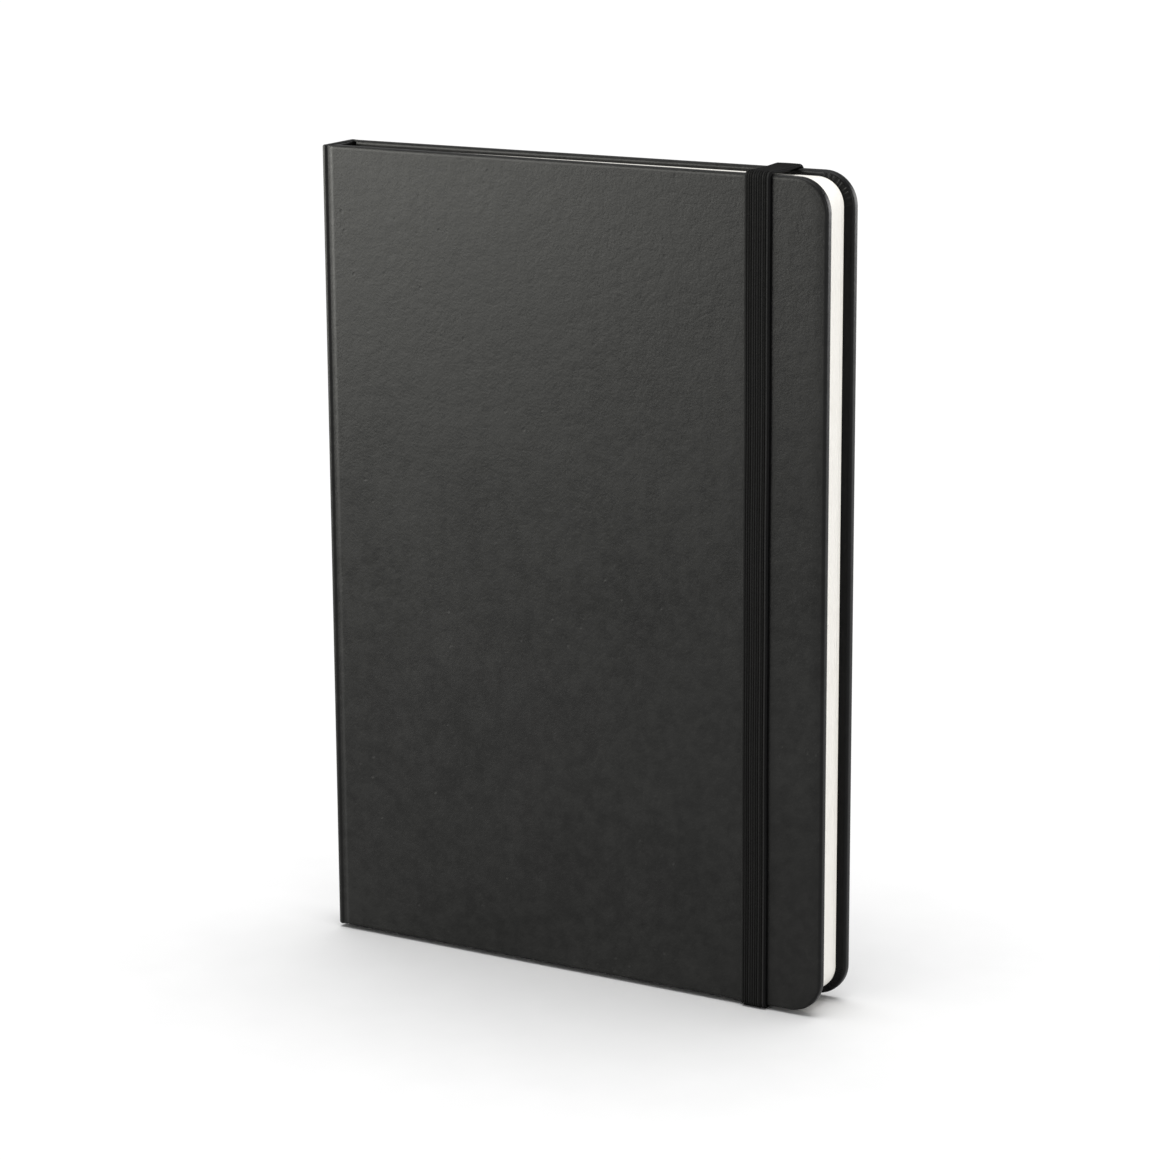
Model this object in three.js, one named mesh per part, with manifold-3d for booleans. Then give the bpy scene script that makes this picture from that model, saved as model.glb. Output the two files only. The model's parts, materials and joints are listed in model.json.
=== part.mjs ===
// A hard-cover sketchbook standing on its tail edge, held shut by an elastic band.
// Millimetres. +Z runs from the tail to the head, -Y is the front cover's side, +X is the fore-edge
// and -X the spine. The origin is under the middle of the book, at the lowest face of the band.
import * as THREE from 'three';
import * as BufferGeometryUtils from 'three/addons/utils/BufferGeometryUtils.js';
import Module from 'manifold-3d';

// ---- Driving dimensions ----
const coverWidth = 145;             // spine to fore-edge
const coverHeight = 210;            // tail to head
const bookThickness = 14;           // outer face to outer face of the two covers, at the spine
const foreEdgeFlare = 1.65;         // how far each cover stands out past that at the fore-edge
const coverThickness = 2.9;         // board with its covering on both sides
const coveringThickness = 0.4;      // leatherette
const coverCornerRadius = 8.5;      // the two fore-edge corners of each cover
const turnInWidth = 12;             // covering folded on to the inner face of a board
const jointWidth = 3.6;             // spine face to the spine-side end of a board
const spineCornerWidth = 1;         // spine covering folded round on to each cover's outer face

const foreEdgeSquare = 2.5;         // how far the covers stand past the leaves
const headSquare = 1.4;             // the same at the head and the tail
const leafCornerRadius = 7;
const spineToLeaves = 3.6;          // spine face to the folded edges of the leaves
const signatureCount = 12;          // sewn sections of drawing paper
const flyleafThickness = 0.16;
const pastedownThickness = 0.2;
const pastedownMargin = 3;          // turn-in left showing round a pastedown

const stiffenerThickness = 1.2;     // card strip inside the spine
const sewingRowCount = 5;
const sewingThreadWidth = 0.5;

const bandWidth = 7;
const bandThickness = 1;
const bandFromForeEdge = 18.5;      // middle of the band
const bandLegLength = 12;           // band on the back cover, from the cover's edge to its slit
const bandAnchorLength = 14;        // band end glued inside the back board
const bandTurnRadius = 0.9;
const slitClearance = 0.2;

const fitGap = 0.05;                // between pieces that lie against each other
const leafGap = 0.03;               // between one section and the next
const cornerSteps = 8;              // straight steps in a rounded corner
const past = 1;                     // how far a cutting solid runs past the face it cuts

// ---- Derived places ----
const spineX = -coverWidth / 2;
const foreEdgeX = coverWidth / 2;
const tailZ = bandThickness;        // the band passes under the tail of the covers
const headZ = tailZ + coverHeight;
const boardEndX = spineX + jointWidth;
const leafSpineX = spineX + spineToLeaves;
const halfThickness = bookThickness / 2;
const leavesHalfThickness = halfThickness - coverThickness - pastedownThickness - fitGap;
const bandX = foreEdgeX - bandFromForeEdge;
const bandLowX = bandX - bandWidth / 2;
const bandHighX = bandX + bandWidth / 2;
const slitInset = bandLegLength + bandThickness;

const wasm = await Module();
wasm.setup();

// ---- Materials ----
function material(color, roughness) {
  return new THREE.MeshStandardMaterial({ color, roughness, metalness: 0 });
}

const finishes = {
  leatherette: () => material(0x2b2b2c, 0.48),
  board: () => material(0x8d8474, 0.9),
  endpaper: () => material(0xe9e4d6, 0.88),
  paper: () => material(0xf0eee6, 0.92),
  gauze: () => material(0xe4ddca, 0.95),
  thread: () => material(0xefe9da, 0.8),
  elastic: () => material(0x1d1d1e, 0.88),
};

// ---- Solids ----
function toSolid(geometry) {
  const bare = geometry.clone();
  bare.deleteAttribute('normal');
  bare.deleteAttribute('uv');
  const merged = BufferGeometryUtils.mergeVertices(bare, 1e-4);
  return new wasm.Manifold(new wasm.Mesh({
    numProp: 3,
    vertProperties: new Float32Array(merged.attributes.position.array),
    triVerts: new Uint32Array(merged.index.array),
  }));
}

function toGeometry(solid) {
  const { vertProperties, triVerts } = solid.getMesh();
  const geometry = new THREE.BufferGeometry();
  geometry.setAttribute('position', new THREE.BufferAttribute(new Float32Array(vertProperties), 3));
  geometry.setIndex(new THREE.BufferAttribute(new Uint32Array(triVerts), 1));
  geometry.computeVertexNormals();
  return geometry;
}

/** A closed block between two corners, as a geometry. */
function block([lowX, lowY, lowZ], [highX, highY, highZ]) {
  const geometry = new THREE.BoxGeometry(highX - lowX, highY - lowY, highZ - lowZ);
  geometry.translate((lowX + highX) / 2, (lowY + highY) / 2, (lowZ + highZ) / 2);
  return geometry;
}

/** The outline of a cover or a leaf in X and Z: square at the spine end, round at the fore-edge. */
function leafOutline({ lowX, highX, lowZ, highZ, radius }) {
  const outline = new THREE.Shape();
  outline.moveTo(lowX, lowZ);
  outline.lineTo(highX - radius, lowZ);
  outline.absarc(highX - radius, lowZ + radius, radius, -Math.PI / 2, 0, false);
  outline.absarc(highX - radius, highZ - radius, radius, 0, Math.PI / 2, false);
  outline.lineTo(lowX, highZ);
  outline.closePath();
  return outline;
}

/** The cover's outline drawn in by an inset from its head, tail and fore-edge. */
function coverOutline(inset, lowX = boardEndX) {
  return leafOutline({
    lowX,
    highX: foreEdgeX - inset,
    lowZ: tailZ + inset,
    highZ: headZ - inset,
    radius: Math.max(coverCornerRadius - inset, 0.5),
  });
}

/** An outline in X and Z made solid between two values of Y. */
function slab(outline, lowY, highY) {
  const geometry = new THREE.ExtrudeGeometry(outline, {
    depth: highY - lowY,
    bevelEnabled: false,
    curveSegments: cornerSteps,
  });
  geometry.rotateX(Math.PI / 2);
  geometry.translate(0, highY, 0);
  return geometry;
}

/** A polygon of [y, z] points made solid between two values of X. */
function strip(points, lowX, highX) {
  const outline = new THREE.Shape(points.map(([y, z]) => new THREE.Vector2(y, z)));
  const geometry = new THREE.ExtrudeGeometry(outline, { depth: highX - lowX, bevelEnabled: false });
  geometry.applyMatrix4(new THREE.Matrix4().makeBasis(
    new THREE.Vector3(0, 1, 0),
    new THREE.Vector3(0, 0, 1),
    new THREE.Vector3(1, 0, 0),
  ));
  geometry.translate(lowX, 0, 0);
  return geometry;
}

/** Depths below a cover's outer face as a low and a high Y. side is -1 for the front, 1 for the back. */
function depthToY(side, shallow, deep) {
  const ends = [side * (halfThickness - shallow), side * (halfThickness - deep)];
  return [Math.min(...ends), Math.max(...ends)];
}

function coverSlab(side, inset, shallow, deep, lowX) {
  return toSolid(slab(coverOutline(inset, lowX), ...depthToY(side, shallow, deep)));
}

/** Spreads a shape in Y, more and more towards the fore-edge: the closed book is a slight wedge. */
function flare(geometry) {
  const places = geometry.attributes.position;
  for (let index = 0; index < places.count; index += 1) {
    const y = places.getY(index);
    const reach = (foreEdgeFlare * (places.getX(index) - spineX)) / coverWidth;
    places.setY(index, y + reach * Math.max(-1, Math.min(1, y / leavesHalfThickness)));
  }
  geometry.computeVertexNormals();
  return geometry;
}

const book = new THREE.Group();

function addPart(name, shape, finish) {
  const geometry = flare(shape.isBufferGeometry ? shape : toGeometry(shape));
  const mesh = new THREE.Mesh(geometry, finishes[finish]());
  mesh.name = name;
  book.add(mesh);
}

// ---- Elastic band ----
const headSlit = headZ - slitInset;
const tailSlit = tailZ + slitInset;
const boardInner = coverThickness - coveringThickness;

/** The slit that a band end passes through, from the outer face to the board's inner face. */
function slitCutter(lowZ) {
  return toSolid(block(
    [bandLowX - slitClearance, halfThickness - coverThickness - past, lowZ - slitClearance],
    [bandHighX + slitClearance, halfThickness + past, lowZ + bandThickness + slitClearance],
  ));
}

/** The shallow bed in the board's inner face for a glued band end. */
function anchorBedCutter(lowZ, highZ) {
  const bedFloor = halfThickness - boardInner + bandThickness + slitClearance;
  return toSolid(block(
    [bandLowX - slitClearance, halfThickness - coverThickness - past, lowZ - slitClearance],
    [bandHighX + slitClearance, bedFloor, highZ + slitClearance],
  ));
}

/** A band end: down the back cover, in through the slit, and flat inside the board. */
function bandLeg(edgeZ, slitOuterZ, direction) {
  const outerY = halfThickness + bandThickness;
  const faceY = halfThickness + fitGap;
  const innerY = halfThickness - boardInner + fitGap;
  const bedY = innerY + bandThickness;
  const slitInnerZ = slitOuterZ + direction * bandThickness;
  const points = [
    [faceY, edgeZ],
    [faceY, slitOuterZ],
    [innerY, slitOuterZ],
    [innerY, slitInnerZ + direction * bandAnchorLength],
    [bedY, slitInnerZ + direction * bandAnchorLength],
    [bedY, slitInnerZ],
    [outerY, slitInnerZ],
    [outerY, edgeZ],
  ];
  return strip(direction < 0 ? points : points.reverse(), bandLowX, bandHighX);
}

/** The band across the head or the tail, with its outer corners rounded. */
function bandTurn(innerZ, direction) {
  const halfSpan = halfThickness + bandThickness;
  const points = [];
  for (const side of [-1, 1]) {
    points.push(...Array.from({ length: 5 }, (_, step) => {
      const angle = (Math.PI / 2) * (side < 0 ? step / 4 : 1 - step / 4);
      return [
        side * (halfSpan - bandTurnRadius + bandTurnRadius * Math.cos(angle)),
        innerZ + direction * (bandThickness - fitGap - bandTurnRadius * (1 - Math.sin(angle))),
      ];
    }));
  }
  points.push([halfSpan, innerZ], [-halfSpan, innerZ]);
  return strip(direction < 0 ? points : points.reverse(), bandLowX, bandHighX);
}

function addBand() {
  addPart('elastic_front_run', block(
    [bandLowX, -halfThickness - bandThickness, tailZ],
    [bandHighX, -halfThickness - fitGap, headZ],
  ), 'elastic');
  addPart('elastic_head_turn', bandTurn(headZ + fitGap, 1), 'elastic');
  addPart('elastic_tail_turn', bandTurn(tailZ - fitGap, -1), 'elastic');
  addPart('elastic_head_end', bandLeg(headZ, headSlit + bandThickness, -1), 'elastic');
  addPart('elastic_tail_end', bandLeg(tailZ, tailSlit - bandThickness, 1), 'elastic');
}

// ---- Covers ----
/** The covering of one board: its outer face, its three edges and the turn-ins inside. */
function coverWrap(side) {
  return coverSlab(side, 0, 0, coverThickness)
    .subtract(coverSlab(side, coveringThickness, coveringThickness, boardInner, boardEndX - past))
    .subtract(coverSlab(side, turnInWidth, boardInner - past, coverThickness + past, boardEndX - past));
}

function coverBoard(side) {
  const inset = coveringThickness + fitGap;
  return coverSlab(side, inset, inset, boardInner - fitGap);
}

/** The paper on a cover's inner face. Its middle sinks between the turn-ins on to the board. */
function pastedown(side) {
  const sunk = coverSlab(side, turnInWidth + fitGap, boardInner, coverThickness + fitGap);
  const face = coverSlab(
    side,
    pastedownMargin,
    coverThickness + fitGap / 2,
    coverThickness + pastedownThickness,
  );
  return sunk.add(face);
}

/** The flat covering between a spine corner and its board. It bends as the cover opens. */
function jointWrap(side) {
  const [lowY, highY] = depthToY(side, 0, coveringThickness);
  return block([spineX + spineCornerWidth + fitGap, lowY, tailZ], [boardEndX - fitGap, highY, headZ]);
}

function addCovers() {
  addPart('front_board', coverBoard(-1), 'board');
  addPart('front_cover_wrap', coverWrap(-1), 'leatherette');
  addPart('front_pastedown', pastedown(-1), 'endpaper');
  addPart('front_joint_wrap', jointWrap(-1), 'leatherette');

  const slits = slitCutter(headSlit).add(slitCutter(tailSlit - bandThickness));
  const beds = anchorBedCutter(headSlit - bandAnchorLength, headSlit)
    .add(anchorBedCutter(tailSlit, tailSlit + bandAnchorLength));
  addPart('back_board', coverBoard(1).subtract(slits).subtract(beds), 'board');
  addPart('back_cover_wrap', coverWrap(1).subtract(slits), 'leatherette');
  addPart('back_pastedown', pastedown(1), 'endpaper');
  addPart('back_joint_wrap', jointWrap(1), 'leatherette');
}

// ---- Spine ----
const stiffenerHighX = spineX + coveringThickness + stiffenerThickness;

/** The covering of the spine: a channel round the stiffener, folded in at its head and tail. */
function spineWrap() {
  const halfRoom = halfThickness - coveringThickness;
  const channel = toSolid(block(
    [spineX, -halfThickness, tailZ],
    [spineX + spineCornerWidth, halfThickness, headZ],
  )).subtract(toSolid(block(
    [spineX + coveringThickness, -halfRoom, tailZ + coveringThickness],
    [spineX + spineCornerWidth + past, halfRoom, headZ - coveringThickness],
  )));
  const foldedIn = [tailZ, headZ - turnInWidth].map((lowZ) => toSolid(block(
    [stiffenerHighX, -halfRoom, lowZ],
    [stiffenerHighX + coveringThickness, halfRoom, lowZ + turnInWidth],
  )));
  const lips = [tailZ, headZ - coveringThickness].map((lowZ) => toSolid(block(
    [spineX + coveringThickness - past / 4, -halfRoom, lowZ],
    [stiffenerHighX + past / 4, halfRoom, lowZ + coveringThickness],
  )));
  return [...foldedIn, ...lips].reduce((whole, piece) => whole.add(piece), channel);
}

function addSpine() {
  const inset = coveringThickness + fitGap;
  addPart('spine_wrap', spineWrap(), 'leatherette');
  addPart('spine_stiffener', block(
    [spineX + inset, inset - halfThickness, tailZ + inset],
    [stiffenerHighX - fitGap, halfThickness - inset, headZ - inset],
  ), 'board');

  const rowEndY = leavesHalfThickness - flyleafThickness;
  const threadX = leafSpineX - fitGap - 0.2;
  for (let row = 1; row <= sewingRowCount; row += 1) {
    const z = tailZ + (coverHeight * row) / (sewingRowCount + 1);
    addPart(`sewing_thread_${row}`, block(
      [threadX, -rowEndY, z - sewingThreadWidth / 2],
      [leafSpineX - fitGap, rowEndY, z + sewingThreadWidth / 2],
    ), 'thread');
  }

  const layers = [
    ['spine_gauze', 0.22, 8, 'gauze'],
    ['spine_lining', 0.3, 2.5, 'paper'],
  ];
  let highX = threadX - fitGap;
  for (const [name, thickness, endInset, finish] of layers) {
    addPart(name, block(
      [highX - thickness, -leavesHalfThickness + fitGap, tailZ + endInset],
      [highX, leavesHalfThickness - fitGap, headZ - endInset],
    ), finish);
    highX -= thickness + fitGap;
  }
}

// ---- Leaves ----
function addLeaf(name, lowY, highY, finish) {
  addPart(name, slab(leafOutline({
    lowX: leafSpineX,
    highX: foreEdgeX - foreEdgeSquare,
    lowZ: tailZ + headSquare,
    highZ: headZ - headSquare,
    radius: leafCornerRadius,
  }), lowY, highY), finish);
}

function addLeaves() {
  addLeaf('front_flyleaf', -leavesHalfThickness, flyleafThickness - leavesHalfThickness, 'endpaper');
  const firstY = -leavesHalfThickness + flyleafThickness + leafGap;
  const pitch = (-2 * firstY + leafGap) / signatureCount;
  for (let index = 0; index < signatureCount; index += 1) {
    const name = `signature_${String(index + 1).padStart(2, '0')}`;
    const lowY = firstY + index * pitch;
    addLeaf(name, lowY, lowY + pitch - leafGap, 'paper');
  }
  addLeaf('back_flyleaf', leavesHalfThickness - flyleafThickness, leavesHalfThickness, 'endpaper');
}

addCovers();
addSpine();
addLeaves();
addBand();

// Turning axes, all upright: the front cover's is in the middle of its joint covering, 2.3 mm in from
// the spine face and just outside the cover's outer face. The leaves share one at the front corner of
// their folded edges.
export default book;
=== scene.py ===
"""Looks of a hard-cover sketchbook with an elastic band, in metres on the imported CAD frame."""

import json
import math

import bmesh
import bpy
import numpy as np
from mathutils import Matrix, Vector

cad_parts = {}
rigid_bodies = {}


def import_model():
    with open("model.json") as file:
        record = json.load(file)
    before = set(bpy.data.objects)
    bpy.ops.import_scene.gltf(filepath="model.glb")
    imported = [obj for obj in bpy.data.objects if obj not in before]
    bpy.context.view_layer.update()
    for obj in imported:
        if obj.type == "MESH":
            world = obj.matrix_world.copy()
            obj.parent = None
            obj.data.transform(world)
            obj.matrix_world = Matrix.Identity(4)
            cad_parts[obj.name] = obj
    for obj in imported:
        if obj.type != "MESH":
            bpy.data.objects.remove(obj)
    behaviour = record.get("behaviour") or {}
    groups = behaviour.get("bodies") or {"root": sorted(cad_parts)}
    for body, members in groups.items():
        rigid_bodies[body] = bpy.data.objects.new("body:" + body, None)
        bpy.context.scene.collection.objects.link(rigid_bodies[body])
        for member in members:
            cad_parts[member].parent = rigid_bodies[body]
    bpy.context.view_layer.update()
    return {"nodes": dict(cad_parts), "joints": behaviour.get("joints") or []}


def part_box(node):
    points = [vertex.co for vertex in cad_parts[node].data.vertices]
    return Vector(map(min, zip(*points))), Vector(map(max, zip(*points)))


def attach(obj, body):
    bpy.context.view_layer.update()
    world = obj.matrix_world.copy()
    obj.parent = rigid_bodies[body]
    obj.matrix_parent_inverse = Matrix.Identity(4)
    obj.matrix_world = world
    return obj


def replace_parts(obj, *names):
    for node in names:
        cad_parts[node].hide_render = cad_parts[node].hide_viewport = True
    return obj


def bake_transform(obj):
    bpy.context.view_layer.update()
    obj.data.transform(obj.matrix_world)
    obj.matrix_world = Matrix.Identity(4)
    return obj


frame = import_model()

MM = 0.001
rng = np.random.default_rng(41)

# ---- Places taken from the frame ----
cover_low, cover_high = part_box("front_cover_wrap")
joint_low, joint_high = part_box("front_joint_wrap")
spine_low, spine_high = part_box("spine_wrap")
flyleaf_low, flyleaf_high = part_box("front_flyleaf")
strap_low, strap_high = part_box("elastic_front_run")

TAIL_Z, HEAD_Z = cover_low.z, cover_high.z
MIDDLE_Z, HALF_HEIGHT = (TAIL_Z + HEAD_Z) / 2, (HEAD_Z - TAIL_Z) / 2
FORE_EDGE_X = cover_high.x
BOARD_END_X = cover_low.x
SEAM_X = joint_low.x                                        # where the spine piece meets the covers
SPINE_X = spine_low.x
FOLD_X = flyleaf_low.x                                      # folded edges of the leaves
LEAF_EDGE_X = flyleaf_high.x

# The closed book is a slight wedge. Shapes are made as if the covers were parallel, then flared.
FLARE = (cover_low.y - spine_low.y) / (SEAM_X - FORE_EDGE_X)
HALF = spine_high.y - FLARE * (SEAM_X - SPINE_X)            # half the thickness at the spine
LEAVES_HALF = -flyleaf_low.y - FLARE * (LEAF_EDGE_X - SPINE_X)
FACE_Y = {-1: -HALF, 1: HALF}                               # outer faces of the two covers
COVER_THICKNESS = HALF + cover_high.y + FLARE * (BOARD_END_X - SPINE_X)

# ---- Sizes of the looks ----
COVER_CORNER = 8.5 * MM
LEAF_CORNER = 7 * MM
EDGE_RADIUS = 0.85 * MM           # rounded edge of a covered board
JOINT_SHEET = 0.8 * MM            # two layers of covering beside the board
JOINT_DIP = 0.3 * MM              # depth of the groove there
BOARD_SLOPE = 1.3 * MM            # how far the covering slopes up from the joint to the board
SEAM_SLOPE = 0.8 * MM             # how far it takes the groove to start at the spine piece
UNEVENNESS, UNEVENNESS_LENGTH = 0.03 * MM, 55 * MM   # of a pasted covering over its board
COVER_WEAR, SPINE_WEAR = 0.8, 0.7    # how rubbed their edges are, from 0 to 1
SPINE_SHEET = 1.9 * MM            # covering, card strip and covering again
SPINE_CORNER = 1.0 * MM
SPINE_CLEARANCE = 0.5 * MM        # from the joints' inner faces to the sides of the spine's hollow
SPINE_STEP, SPINE_RISE = 1.0 * MM, 2.0 * MM   # how soon beside a joint the spine has its full shape
SPINE_END_RADIUS = 0.62 * MM      # folded ends of the spine piece
CORNER_WEAR_PLACE, CORNER_WEAR_SPREAD = 1.8 * MM, 0.5 * MM   # rubbed line along the spine's corners
TURN_IN = 12 * MM
TURN_IN_STEP = 0.16 * MM          # height of a turn-in's edge as seen through the paper over it
TURN_IN_STEP_WIDTH = 1.0 * MM
TURN_IN_NEAR = 1.5 * MM           # how far on both sides of that step the mesh is finer
PLEATS = 9                        # folds of the turn-in round a corner
PLEAT_WIDTH, PLEAT_HEIGHT = 0.95 * MM, 0.16 * MM
PLEAT_INSET = 0.5 * MM            # from the cover's edge to the start of a fold
PLEAT_BEND = 0.5 * MM
PLEAT_SINK = 0.02 * MM
PLEAT_WEAR = 0.25
PASTEDOWN_MARGIN = 3 * MM
PASTEDOWN_CORNER = 5.5 * MM
PASTEDOWN_THICKNESS = 0.2 * MM
SHEETS_PER_SIGNATURE = 2
SHEET_FILL = 0.95                 # share of a leaf's room that its paper takes up
LEAF_BEND = 15 * MM               # how far from its fold a leaf bends as it turns
GUTTER_FLAT = 2 * MM              # how near its fold a pastedown has no step
STRIP_BOW, STRIP_WAVES = 0.01 * MM, 900   # how far a spine strip bows, and how often along a metre
STRIP_FILL = 0.8                  # share of a strip's room that it takes up
YARN_RADIUS, YARN_SWAY, YARN_RISE = 0.075 * MM, 0.02 * MM, 0.10 * MM
YARN_END_GAP = 0.1 * MM
STRAP_THICKNESS = 0.92 * MM
STRAP_TURN = 1.4 * MM             # the band's middle line round an edge of a cover
STRAP_RIBS = 10
STRAP_RIB_DEPTH = 0.12 * MM
STRAP_EDGE = 0.3 * MM
STRAP_EDGE_PAINTED_LIGHT = 0.8             # painted light on the band's rounded edges, from 0, as dark as the painted shade in a groove, to 1, as light as the painted highlight on a rib
STRAP_CROWN = 0.06 * MM
STRAP_SAG = 0.2 * MM
STRAP_STRAY = 0.05 * MM           # how far the band wanders sideways
STRAP_STRAY_LENGTHS = (23 * MM, 9.1 * MM)
SLIT_TURN = 0.75 * MM
SLIT_INSET = 12.5 * MM            # from head and tail to the slits in the back cover
SLIT_DEPTH = 1.0 * MM             # how far into the cover the band's ends can be followed
SLIT_HALF_WIDTH, SLIT_HALF_HEIGHT = 3.9 * MM, 0.78 * MM
SLIT_CORNER, SLIT_RIM, SLIT_SINK = 0.3 * MM, 0.11 * MM, 0.05 * MM
CORNER_STEPS = 14
ROW_STEPS = 64
WELD = 0.002 * MM                 # points nearer than this are made one
CASE_CREASE, STRAP_CREASE = 55, 70   # degrees; sharper edges are shaded as creases

# ---- Camera and light ----
CAMERA_AZIMUTH, CAMERA_ELEVATION, CAMERA_ROLL = 29.86, 13.71, -0.35
CAMERA_DISTANCE = 937.15 * MM
CAMERA_LENS, CAMERA_SENSOR = 114.04, 36
CAMERA_AIM = (-0.68 * MM, -2.82 * MM)
BOOK_MIDDLE = Vector((0, 0, MIDDLE_Z))
STUDIO_WHITE = (1.0, 1.0, 1.0, 1.0)
STUDIO_STRENGTH = 0.38
OVERHEAD_STRENGTH, OVERHEAD_ANGLE = 2.5, 50   # a wide sun; its size on the sky is in degrees
FLOOR_HALF = 6                    # metres from the book to each edge of the floor


# ---- Materials ----
class Paint:
    """A procedural material, built node by node on the place that each point has at rest."""

    def __init__(self, name, rest=True):
        self.material = bpy.data.materials.new(name)
        self.material.use_nodes = True
        self.tree = self.material.node_tree
        self.surface = self.tree.nodes["Principled BSDF"]
        if rest:
            self.place = self.node("ShaderNodeAttribute", attribute_name="rest").outputs["Vector"]
        else:
            self.place = self.node("ShaderNodeTexCoord").outputs["Object"]

    def node(self, kind, inputs=None, **settings):
        made = self.tree.nodes.new(kind)
        for key, value in settings.items():
            setattr(made, key, value)
        for key, value in (inputs or {}).items():
            if isinstance(value, bpy.types.NodeSocket):
                self.tree.links.new(value, made.inputs[key])
            else:
                made.inputs[key].default_value = value
        return made

    def scaled(self, x, y, z):
        made = self.node("ShaderNodeMapping", {"Vector": self.place, "Scale": (x, y, z)})
        return made.outputs["Vector"]

    def noise(self, scale, detail=3.0, roughness=0.5, place=None):
        made = self.node("ShaderNodeTexNoise", {"Vector": place or self.place, "Scale": scale,
                                                "Detail": detail, "Roughness": roughness})
        return made.outputs["Fac"]

    def cells(self, scale):
        made = self.node("ShaderNodeTexVoronoi", {"Vector": self.place, "Scale": scale})
        return made.outputs["Distance"]

    def wave(self, scale, direction, distortion=0.0, detail=1.0, detail_scale=1.0):
        made = self.node("ShaderNodeTexWave", {"Vector": self.place, "Scale": scale,
                                               "Distortion": distortion, "Detail": detail,
                                               "Detail Scale": detail_scale},
                         wave_type="BANDS", bands_direction=direction)
        return made.outputs["Fac"]

    def math(self, operation, a, b=0.0):
        return self.node("ShaderNodeMath", {0: a, 1: b}, operation=operation).outputs[0]

    def total(self, *terms):
        """The sum of (value, weight) pairs."""
        whole = None
        for value, weight in terms:
            part = self.math("MULTIPLY", value, weight)
            whole = part if whole is None else self.math("ADD", whole, part)
        return whole

    def between(self, value, low, high, from_low=0.3, from_high=0.7):
        return self.node("ShaderNodeMapRange", {"Value": value, "From Min": from_low,
                                                "From Max": from_high, "To Min": low,
                                                "To Max": high}).outputs[0]

    def color(self, value, *stops):
        ramp = self.node("ShaderNodeValToRGB", {"Fac": value})
        elements = ramp.color_ramp.elements
        while len(elements) < len(stops):
            elements.new(0.5)
        for element, (position, rgb) in zip(elements, stops):
            element.position = position
            element.color = (*rgb, 1)
        return ramp.outputs["Color"]

    def finish(self, color, roughness, height=None, depth=0.0, **constants):
        self.tree.links.new(color, self.surface.inputs["Base Color"])
        self.tree.links.new(roughness, self.surface.inputs["Roughness"])
        if height is not None:
            bump = self.node("ShaderNodeBump", {"Height": height, "Strength": 1.0,
                                                "Distance": depth})
            self.tree.links.new(bump.outputs["Normal"], self.surface.inputs["Normal"])
        for key, value in constants.items():
            self.surface.inputs[key.replace("_", " ")].default_value = value
        return self.material


def leatherette(name):
    """Smooth satin imitation leather: fine pores, faint mottling and rubbed edges."""
    p = Paint(name)
    mottle = p.noise(42, 4, 0.6)
    clouds = p.noise(15, 2, 0.5)
    blotches = p.noise(330, 4, 0.6)
    pores = p.cells(1500)
    creases = p.noise(900, 4, 0.65)
    scuffed = p.between(p.noise(55, 2), 0, 1, 0.5, 0.62)
    pits = p.math("MULTIPLY", p.between(p.cells(230), 1, 0, 0.05, 0.13), scuffed)
    rubbed = p.node("ShaderNodeAttribute", attribute_name="edge").outputs["Fac"]
    tone = p.total((mottle, 0.25), (clouds, 0.25), (blotches, 0.4), (creases, 0.1), (rubbed, 0.12))
    base = p.color(tone, (0.35, (0.0036, 0.0036, 0.0036)), (0.65, (0.0062, 0.0062, 0.0062)),
                   (1.0, (0.0180, 0.0180, 0.0178)))
    rough = p.total((p.between(mottle, 0.32, 0.37), 1.0), (p.between(creases, -0.02, 0.03), 1.0),
                    (p.between(blotches, -0.025, 0.025, 0.38, 0.62), 1.0), (pits, 0.15),
                    (rubbed, 0.06))
    height = p.total((pores, 0.4), (creases, 0.4), (blotches, 2.1), (pits, -1.2))
    return p.finish(base, rough, height, 0.035 * MM, Specular_IOR_Level=0.1)


def elastic_cloth(name):
    """Ribbed woven elastic: matte black yarns over lengthwise rubber cores, with painted light and
    shade on its ribs.
    """
    p = Paint(name)
    yarn = p.wave(900, "Z", 1.5, 2, 1.5)
    fuzz = p.noise(2400, 3, 0.6)
    # On the band the 'edge' attribute is painted rib light and shade: crests lighter, grooves
    # darker.
    rib = p.node("ShaderNodeAttribute", attribute_name="edge").outputs["Fac"]
    tone = p.total((rib, 0.6), (yarn, 0.1), (fuzz, 0.2), (p.noise(120), 0.1))
    base = p.color(tone, (0.2, (0.0002, 0.0002, 0.0002)), (0.85, (0.0060, 0.0060, 0.0062)))
    height = p.total((yarn, 0.5), (fuzz, 0.5))
    return p.finish(base, p.between(fuzz, 0.68, 0.88), height, 0.04 * MM, Specular_IOR_Level=0.05,
                    Sheen_Weight=0.004, Sheen_Roughness=0.5)


def paper(name, light, dark, tooth=0.02):
    """Uncoated paper: cloudy formation, short fibres and a light tooth."""
    p = Paint(name)
    clouds = p.noise(90, 4, 0.6)
    fibres = p.noise(1.0, 4, 0.6, p.scaled(700, 700, 2600))
    fine = p.noise(3200, 2, 0.5)
    base = p.color(p.total((clouds, 0.6), (fibres, 0.4)), (0.3, dark), (0.62, light))
    rough = p.between(fine, 0.84, 0.95)
    height = p.total((fibres, 0.6), (fine, 0.4))
    return p.finish(base, rough, height, tooth * MM, Specular_IOR_Level=0.25)


def open_weave(name):
    """Starched gauze: crossing yarns with a weave that shows in colour and height."""
    p = Paint(name)
    warp, weft = p.wave(180, "Y"), p.wave(180, "Z")
    crossing = p.math("MAXIMUM", warp, weft)
    base = p.color(crossing, (0.35, (0.30, 0.27, 0.21)), (0.8, (0.76, 0.71, 0.60)))
    rough = p.between(p.noise(1500), 0.85, 0.97)
    return p.finish(base, rough, crossing, 0.12 * MM, Specular_IOR_Level=0.2)


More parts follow.
